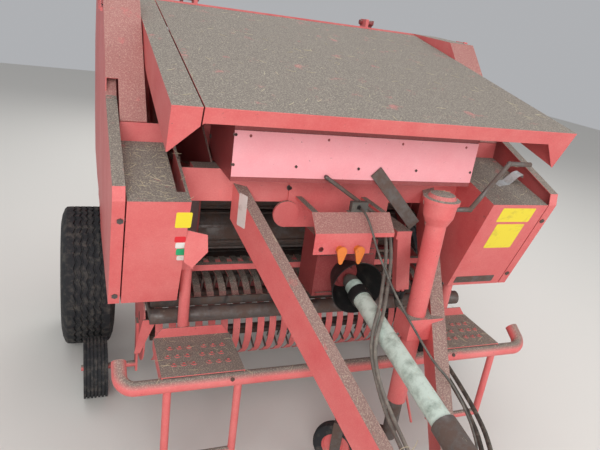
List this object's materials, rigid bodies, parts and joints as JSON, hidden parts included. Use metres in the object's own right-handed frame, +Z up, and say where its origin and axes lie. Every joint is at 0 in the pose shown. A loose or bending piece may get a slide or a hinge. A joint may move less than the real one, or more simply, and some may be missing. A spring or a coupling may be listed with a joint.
{
  "type": "round baler",
  "caption": "Trailed round baler with a roller chamber, tailgate, pickup, side doors, net box lid, drawbar, drive shaft and jockey wheel jack.",
  "frame": {"origin": "on the ground under the middle of the machine's length and width", "axes": "+X across the machine, to the right when it is seen from its hitch, +Y to the rear, +Z up; names with right lie at +X"},
  "size_m": [2.51, 3.63, 2.096],
  "materials": {
    "red_paint": "faded enamel, dusty",
    "light_panel": "bleached enamel",
    "dark_red_paint": "enamel in shade",
    "worn_steel": "worn, dirty",
    "rod_chrome": "polished",
    "guard_plastic": "weathered polyethylene",
    "black_plastic": "moulded",
    "cap_orange": "moulded",
    "cable_plastic": "weathered sheath",
    "hose_rubber": "dusty hose",
    "lamp_red": "moulded lens",
    "tyre_rubber": "dusty"
  },
  "bodies": {
    "chassis": {"side_walls": "dark_red_paint", "front_shell": "red_paint", "rollers_front": "worn_steel", "chassis_frame": "dark_red_paint", "cross_member": "red_paint", "drawbar": "red_paint", "hitch_eye": "worn_steel", "front_panel": "light_panel", "net_box": "dark_red_paint", "roof_strip": "red_paint", "guard_left": "red_paint", "twine_box": "red_paint", "upper_shields": "red_paint", "rear_rail": "red_paint", "hoop": "red_paint", "steps": "red_paint", "gearbox": "dark_red_paint", "shaft_cone": "black_plastic", "shaft_guard": "guard_plastic", "shaft_yoke": "worn_steel", "valve_bracket": "red_paint", "port_caps": "cap_orange", "control_bar": "worn_steel", "jack_tube": "red_paint", "jack_crank": "worn_steel", "hose_couplers": "worn_steel", "cable_socket": "cable_plastic", "hose_black_a": "hose_rubber", "hose_black_b": "hose_rubber", "hose_grey_a": "hose_rubber", "hose_grey_b": "hose_rubber", "lamp_cable": "cable_plastic"},
    "jack": {"jack_leg": "worn_steel"},
    "jockey": {"jockey_wheel": "tyre_rubber"},
    "lid": {"lid": "red_paint"},
    "door_left": {"door_left": "red_paint"},
    "door_right": {"door_right": "red_paint"},
    "tailgate": {"gate_walls": "dark_red_paint", "gate_shell": "red_paint", "gate_shields": "red_paint", "rollers_rear": "worn_steel", "tail_lamps": "lamp_red"},
    "barrel_left": {"barrel_left": "dark_red_paint"},
    "barrel_right": {"barrel_right": "dark_red_paint"},
    "rod_left": {"rod_left": "rod_chrome"},
    "rod_right": {"rod_right": "rod_chrome"},
    "wheel_left": {"wheel_left": "tyre_rubber"},
    "wheel_right": {"wheel_right": "tyre_rubber"},
    "pickup": {"pickup_frame": "red_paint", "pickup_strippers": "red_paint", "crop_guard": "worn_steel"},
    "reel": {"tine_reel": "worn_steel"},
    "gauge_left": {"gauge_wheel_left": "tyre_rubber"},
    "gauge_right": {"gauge_wheel_right": "tyre_rubber"}
  },
  "joints": [
    {"name": "wheel_left_spin", "type": "hinge", "parent": "chassis", "child": "wheel_left", "pos_m": [-1.11, 0.85, 0.415], "axis": [1, 0, 0], "continuous": true},
    {"name": "wheel_right_spin", "type": "hinge", "parent": "chassis", "child": "wheel_right", "pos_m": [1.11, 0.85, 0.415], "axis": [1, 0, 0], "continuous": true},
    {"name": "tailgate_lift", "type": "hinge", "parent": "chassis", "child": "tailgate", "pos_m": [0, 0.962, 2.076], "axis": [1, 0, 0], "range_deg": [0, 62]},
    {"name": "barrel_left_swing", "type": "hinge", "parent": "chassis", "child": "barrel_left", "pos_m": [-0.74, 0.56, 1.12], "axis": [1, 0, 0], "range_deg": [0, 6.93]},
    {"name": "barrel_right_swing", "type": "hinge", "parent": "chassis", "child": "barrel_right", "pos_m": [0.74, 0.56, 1.12], "axis": [1, 0, 0], "range_deg": [0, 6.93]},
    {"name": "rod_left_slide", "type": "slide", "parent": "barrel_left", "child": "rod_left", "axis": [0, 0.6126, 0.7904], "range_m": [0, 0.2402]},
    {"name": "rod_right_slide", "type": "slide", "parent": "barrel_right", "child": "rod_right", "axis": [0, 0.6126, 0.7904], "range_m": [0, 0.2402]},
    {"name": "lid_lift", "type": "hinge", "parent": "chassis", "child": "lid", "pos_m": [0, 0.876, 2.03], "axis": [-1, 0, 0], "range_deg": [0, 60]},
    {"name": "door_left_swing", "type": "hinge", "parent": "chassis", "child": "door_left", "pos_m": [-1.058, 0.72, 2.032], "axis": [0, 1, 0], "range_deg": [0, 80]},
    {"name": "door_right_swing", "type": "hinge", "parent": "chassis", "child": "door_right", "pos_m": [1.058, 0.72, 2.032], "axis": [0, -1, 0], "range_deg": [0, 80]},
    {"name": "pickup_lift", "type": "hinge", "parent": "chassis", "child": "pickup", "pos_m": [0, 0.48, 0.72], "axis": [-1, 0, 0], "range_deg": [0, 10]},
    {"name": "reel_spin", "type": "hinge", "parent": "pickup", "child": "reel", "pos_m": [0, 0.2, 0.48], "axis": [1, 0, 0], "continuous": true},
    {"name": "gauge_left_spin", "type": "hinge", "parent": "pickup", "child": "gauge_left", "pos_m": [-1.08, 0.23, 0.163], "axis": [1, 0, 0], "continuous": true},
    {"name": "gauge_right_spin", "type": "hinge", "parent": "pickup", "child": "gauge_right", "pos_m": [1.08, 0.23, 0.163], "axis": [1, 0, 0], "continuous": true},
    {"name": "jack_slide", "type": "slide", "parent": "chassis", "child": "jack", "axis": [0, 0, 1], "range_m": [-0.15, 0.17]},
    {"name": "jockey_spin", "type": "hinge", "parent": "jack", "child": "jockey", "pos_m": [0.02, -0.54, 0.12], "axis": [0.6428, 0.766, 0], "continuous": true}
  ],
  "couplings": [
    {"joint": "barrel_left_swing", "follows": "tailgate_lift", "ratio": 0.11181},
    {"joint": "barrel_right_swing", "follows": "tailgate_lift", "ratio": 0.11181},
    {"joint": "rod_left_slide", "follows": "tailgate_lift", "m_per_rad": 0.22201},
    {"joint": "rod_right_slide", "follows": "tailgate_lift", "m_per_rad": 0.22201}
  ]
}
